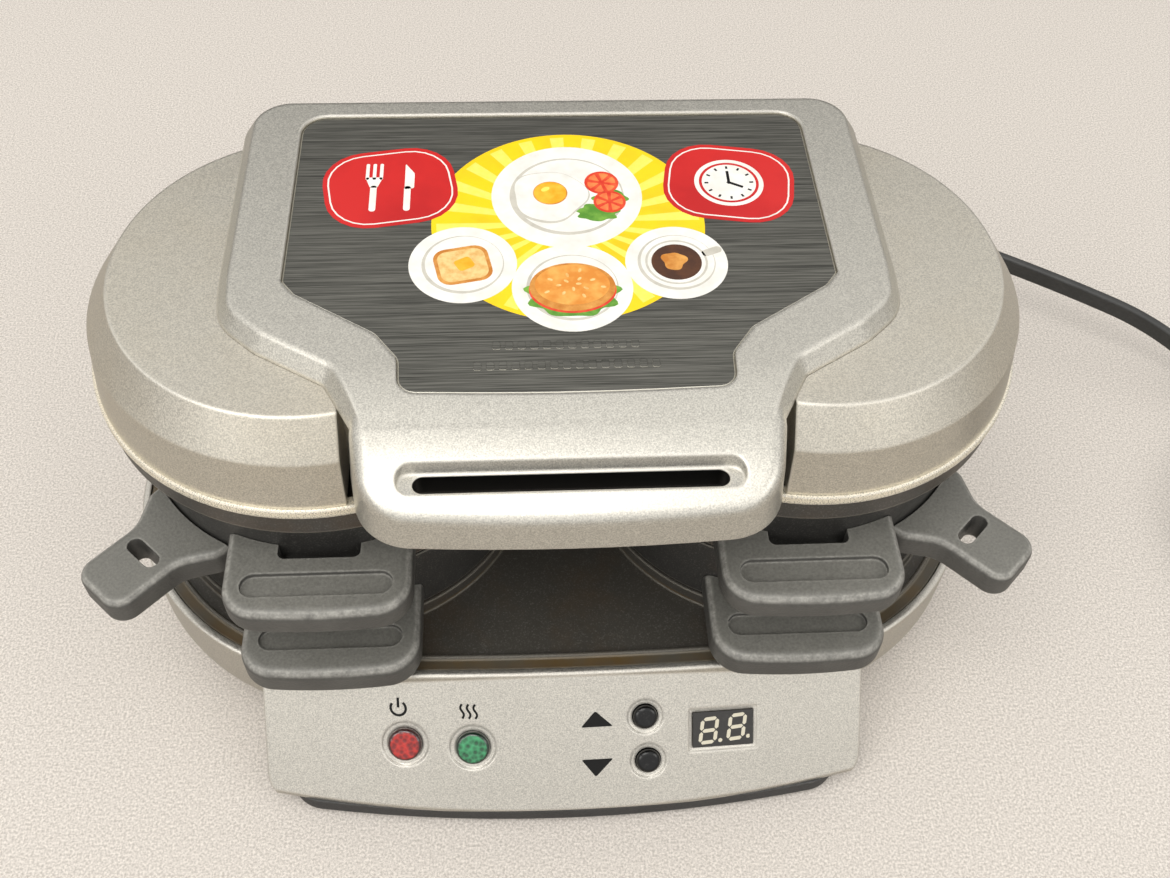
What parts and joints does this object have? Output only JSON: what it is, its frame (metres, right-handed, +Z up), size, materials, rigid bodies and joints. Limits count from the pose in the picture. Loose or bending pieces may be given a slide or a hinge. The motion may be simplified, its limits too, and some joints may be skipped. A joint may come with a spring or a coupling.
{
  "type": "breakfast sandwich maker",
  "caption": "Two-station countertop breakfast sandwich maker: lobed silver lid, stacked rings with swing-out cooking plates, sloping timer panel and mains cord.",
  "frame": {"origin": "centre of the footprint on the counter, without the cord", "axes": "+X to the right along the longest side, +Y to the rear hinge, +Z up"},
  "size_m": [0.5069, 0.2853, 0.141],
  "materials": {
    "silver_shell": "satin silver paint",
    "bead_metal": "bright rolled rim",
    "black_shell": "fine matte grain",
    "brushed_insert": "dark, brushed from side to side",
    "nonstick": "non-stick coating",
    "ring_metal": "coated aluminium",
    "phenolic": "moulded, a little worn at the edges",
    "steel": "plain",
    "board": "solder mask",
    "component_black": "moulded",
    "display_glass": "smoked",
    "red_lens": "faceted and clear",
    "green_lens": "faceted and clear",
    "button_black": "polished",
    "terminal": "moulded",
    "cord_rubber": "soft and dull",
    "pin_brass": "plain"
  },
  "bodies": {
    "base": {"base_housing": "silver_shell", "base_tray": "black_shell", "rubber_feet": "cord_rubber", "lower_heating_plate": "nonstick", "lower_element": "steel", "lower_heat_shield": "steel", "lower_thermostat": "steel", "control_board": "board", "indicator_leds": "red_lens", "tact_switches": "component_black", "relay": "component_black", "display_module": "component_black", "display_window": "display_glass", "red_lens": "red_lens", "green_lens": "green_lens", "hinge_tower": "black_shell", "hinge_rod": "steel", "rod_clips": "steel", "strain_relief": "cord_rubber", "power_cord": "cord_rubber", "cord_coil": "cord_rubber", "plug_body": "cord_rubber", "plug_pins": "pin_brass"},
    "up_button": {"up_button": "button_black"},
    "down_button": {"down_button": "button_black"},
    "left_bottom_ring": {"left_bottom_ring": "ring_metal", "left_bottom_handle": "phenolic", "left_bottom_handle_screws": "steel"},
    "left_top_ring": {"left_top_ring": "ring_metal", "left_top_handle": "phenolic", "left_top_handle_screws": "steel", "left_pivot_pin": "steel"},
    "left_plate": {"left_cooking_plate": "nonstick", "left_plate_handle": "phenolic", "left_plate_screw": "steel"},
    "right_bottom_ring": {"right_bottom_ring": "ring_metal", "right_bottom_handle": "phenolic", "right_bottom_handle_screws": "steel"},
    "right_top_ring": {"right_top_ring": "ring_metal", "right_top_handle": "phenolic", "right_top_handle_screws": "steel", "right_pivot_pin": "steel"},
    "right_plate": {"right_cooking_plate": "nonstick", "right_plate_handle": "phenolic", "right_plate_screw": "steel"},
    "lid": {"lid_cover": "silver_shell", "lid_deck": "silver_shell", "lid_insert": "brushed_insert", "handle_grip": "black_shell", "bead_rim": "bead_metal", "upper_heating_plate": "nonstick", "upper_element": "steel", "upper_heat_shield": "steel", "upper_thermostat": "steel", "thermal_fuse": "steel", "terminal_block": "terminal", "lid_wiring": "terminal", "lid_bracket": "steel", "lid_screws": "steel"}
  },
  "joints": [
    {"name": "left_bottom_lift", "type": "hinge", "parent": "base", "child": "left_bottom_ring", "pos_m": [0, 0.082, 0.088], "axis": [-1, 0, 0], "range_deg": [0, 40]},
    {"name": "left_top_lift", "type": "hinge", "parent": "left_bottom_ring", "child": "left_top_ring", "pos_m": [0, 0.082, 0.088], "axis": [-1, 0, 0], "range_deg": [0, 45]},
    {"name": "lid_lift", "type": "hinge", "parent": "left_top_ring", "child": "lid", "pos_m": [0, 0.082, 0.088], "axis": [-1, 0, 0], "range_deg": [0, 92]},
    {"name": "right_bottom_lift", "type": "hinge", "parent": "base", "child": "right_bottom_ring", "pos_m": [0, 0.082, 0.088], "axis": [-1, 0, 0], "range_deg": [0, 40]},
    {"name": "right_top_lift", "type": "hinge", "parent": "right_bottom_ring", "child": "right_top_ring", "pos_m": [0, 0.082, 0.088], "axis": [-1, 0, 0], "range_deg": [0, 45]},
    {"name": "left_plate_swing", "type": "hinge", "parent": "left_top_ring", "child": "left_plate", "pos_m": [-0.10994, 0.04384, 0.0722], "axis": [0, 0, -1], "range_deg": [0, 110]},
    {"name": "right_plate_swing", "type": "hinge", "parent": "right_top_ring", "child": "right_plate", "pos_m": [0.10994, 0.04384, 0.0722], "axis": [0, 0, 1], "range_deg": [0, 110]},
    {"name": "up_press", "type": "slide", "parent": "base", "child": "up_button", "axis": [-0.0426, 0.7414, -0.6698], "range_m": [0, 0.0004], "stiffness_N_per_m": 300},
    {"name": "down_press", "type": "slide", "parent": "base", "child": "down_button", "axis": [-0.0441, 0.7413, -0.6697], "range_m": [0, 0.0004], "stiffness_N_per_m": 300}
  ],
  "couplings": [
    {"joint": "right_bottom_lift", "follows": "left_bottom_lift", "ratio": 1},
    {"joint": "right_top_lift", "follows": "left_top_lift", "ratio": 1}
  ]
}
